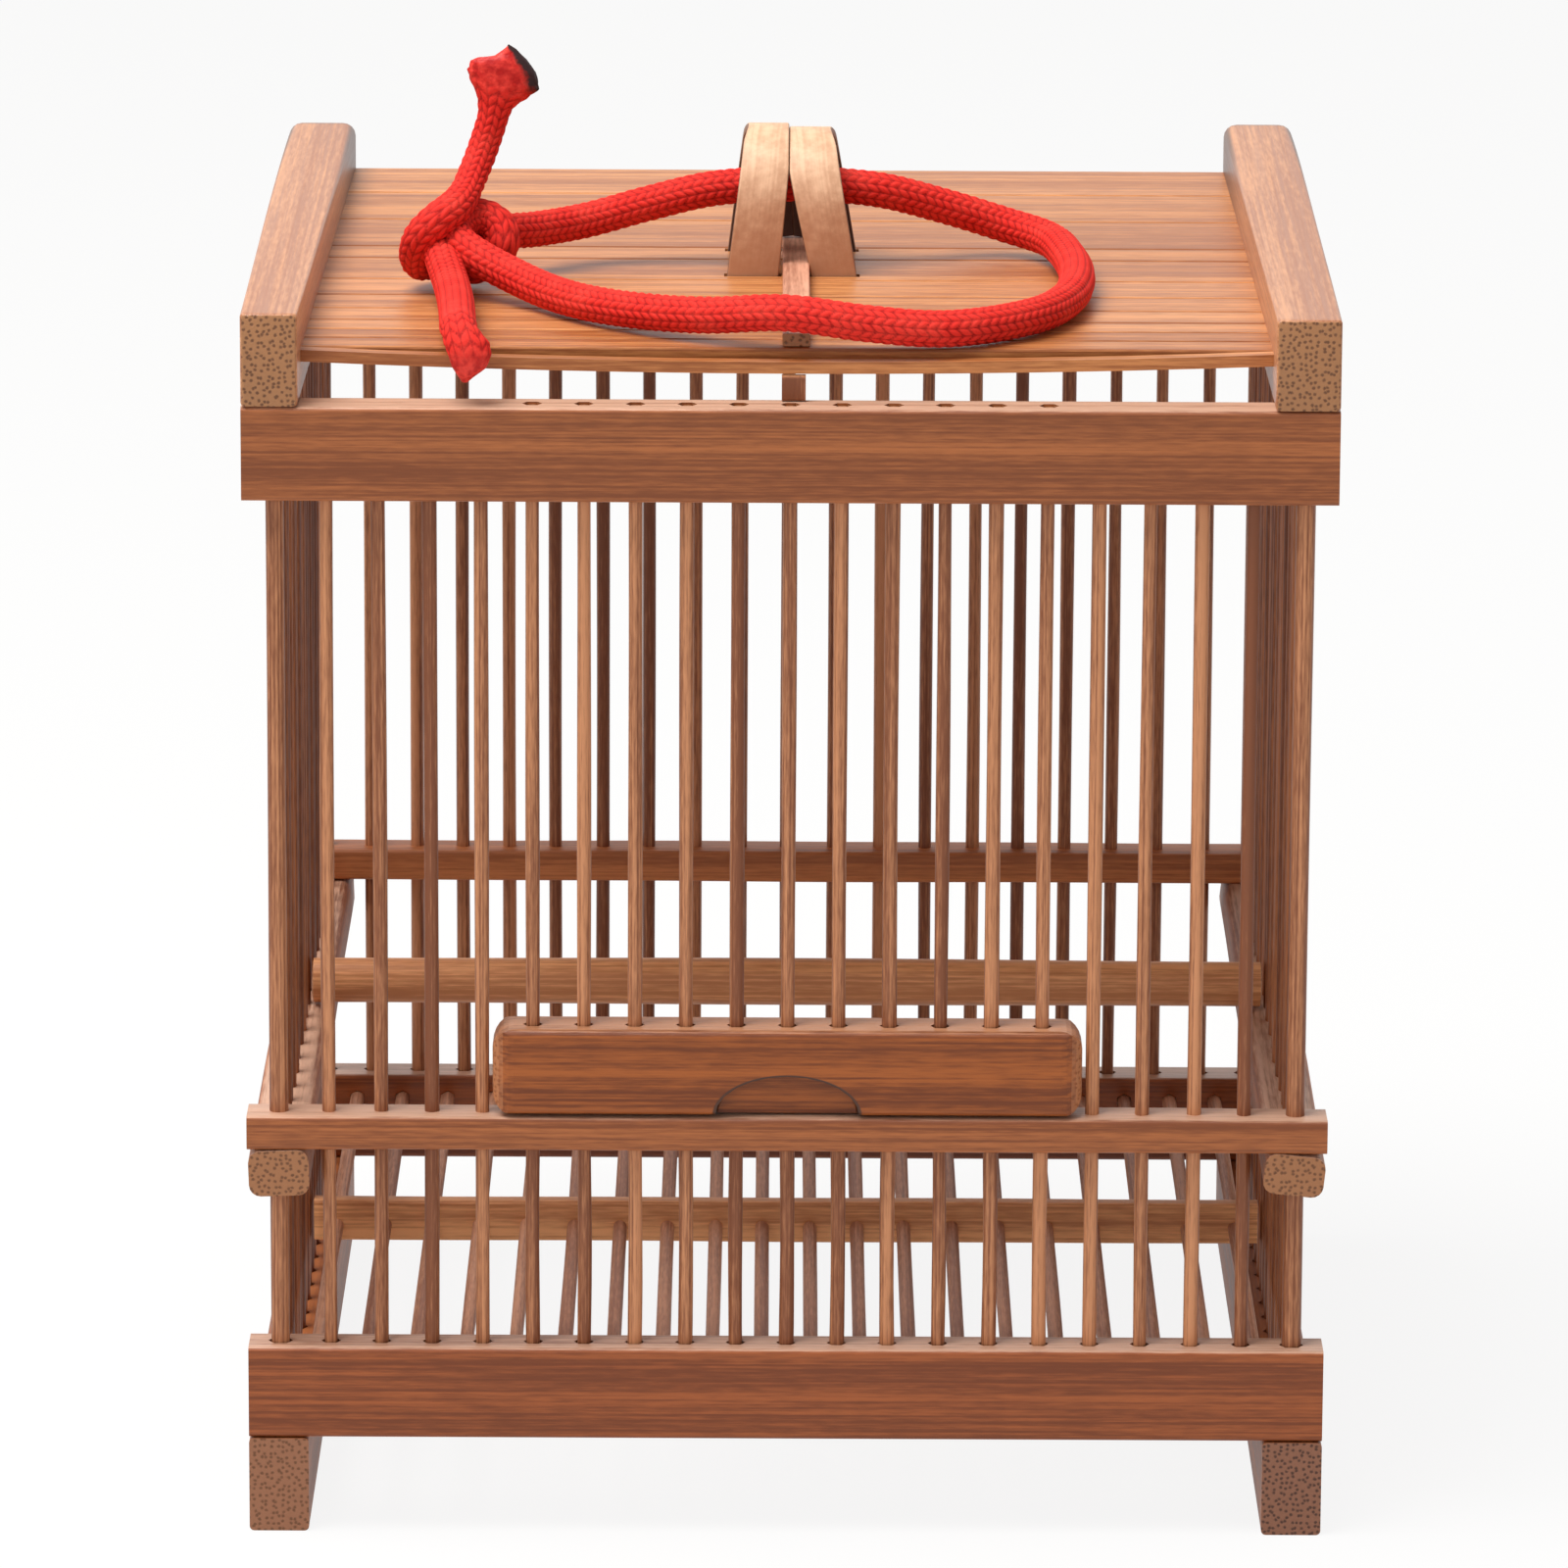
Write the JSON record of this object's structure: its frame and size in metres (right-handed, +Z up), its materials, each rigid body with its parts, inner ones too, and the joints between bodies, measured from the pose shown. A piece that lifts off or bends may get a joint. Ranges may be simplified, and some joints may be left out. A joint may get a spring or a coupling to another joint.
{
  "type": "bamboo cricket cage",
  "caption": "Square cage of stacked bamboo rails and thin threaded bars, with a lift-up barred door, slatted roof, rod floor, perch and a knotted carrying cord.",
  "frame": {"origin": "bottom centre of the cage, between the undersides of the two runners", "axes": "+Z up, -Y towards the side with the door, +X to the right as seen from that side"},
  "size_m": [0.11, 0.1101, 0.1472],
  "materials": {
    "bamboo_rail": "satin, carbonised brown bamboo with fine grain",
    "bamboo_roof": "satin, pale golden bamboo slats",
    "bamboo_bar": "satin, drawn bamboo sticks",
    "bamboo_rod": "satin, pinkish brown bamboo rods",
    "bamboo_strip": "satin, bent pale bamboo skin",
    "red_cord": "matt red braid"
  },
  "bodies": {
    "cage": {"back_bottom_rail": "bamboo_rail", "back_left_corner_post": "bamboo_bar", "back_mid_rail": "bamboo_rail", "back_right_corner_post": "bamboo_bar", "back_top_rail": "bamboo_rail", "carry_cord": "red_cord", "cord_knot": "red_cord", "cord_lower_tail": "red_cord", "cord_upper_tail": "red_cord", "floor_grille": "bamboo_rod", "front_bottom_rail": "bamboo_rail", "front_fixed_bar_1": "bamboo_bar", "front_fixed_bar_2": "bamboo_bar", "front_fixed_bar_3": "bamboo_bar", "front_fixed_bar_4": "bamboo_bar", "front_fixed_bar_5": "bamboo_bar", "front_fixed_bar_6": "bamboo_bar", "front_fixed_bar_7": "bamboo_bar", "front_fixed_bar_8": "bamboo_bar", "front_left_corner_post": "bamboo_bar", "front_mid_rail": "bamboo_rail", "front_right_corner_post": "bamboo_bar", "front_stick_peg": "bamboo_bar", "front_top_rail": "bamboo_rail", "left_handle_hoop": "bamboo_strip", "left_mid_rail": "bamboo_rail", "left_roof_beam": "bamboo_roof", "left_runner": "bamboo_rail", "perch_rod": "bamboo_rod", "right_handle_hoop": "bamboo_strip", "right_mid_rail": "bamboo_rail", "right_roof_beam": "bamboo_roof", "right_runner": "bamboo_rail", "roof_batten": "bamboo_strip", "roof_front_stick": "bamboo_roof", "roof_slat_1": "bamboo_roof", "roof_slat_10": "bamboo_roof", "roof_slat_11": "bamboo_roof", "roof_slat_2": "bamboo_roof", "roof_slat_3": "bamboo_roof", "roof_slat_4": "bamboo_roof", "roof_slat_5": "bamboo_roof", "roof_slat_6": "bamboo_roof", "roof_slat_7": "bamboo_roof", "roof_slat_8": "bamboo_roof", "roof_slat_9": "bamboo_roof"},
    "door": {"door_bar_1": "bamboo_bar", "door_bar_10": "bamboo_bar", "door_bar_11": "bamboo_bar", "door_bar_2": "bamboo_bar", "door_bar_3": "bamboo_bar", "door_bar_4": "bamboo_bar", "door_bar_5": "bamboo_bar", "door_bar_6": "bamboo_bar", "door_bar_7": "bamboo_bar", "door_bar_8": "bamboo_bar", "door_bar_9": "bamboo_bar", "door_block": "bamboo_rail"}
  },
  "joints": [
    {"name": "door_slide", "type": "slide", "parent": "cage", "child": "door", "axis": [0, 0, 1], "range_m": [0, 0.0545]}
  ]
}
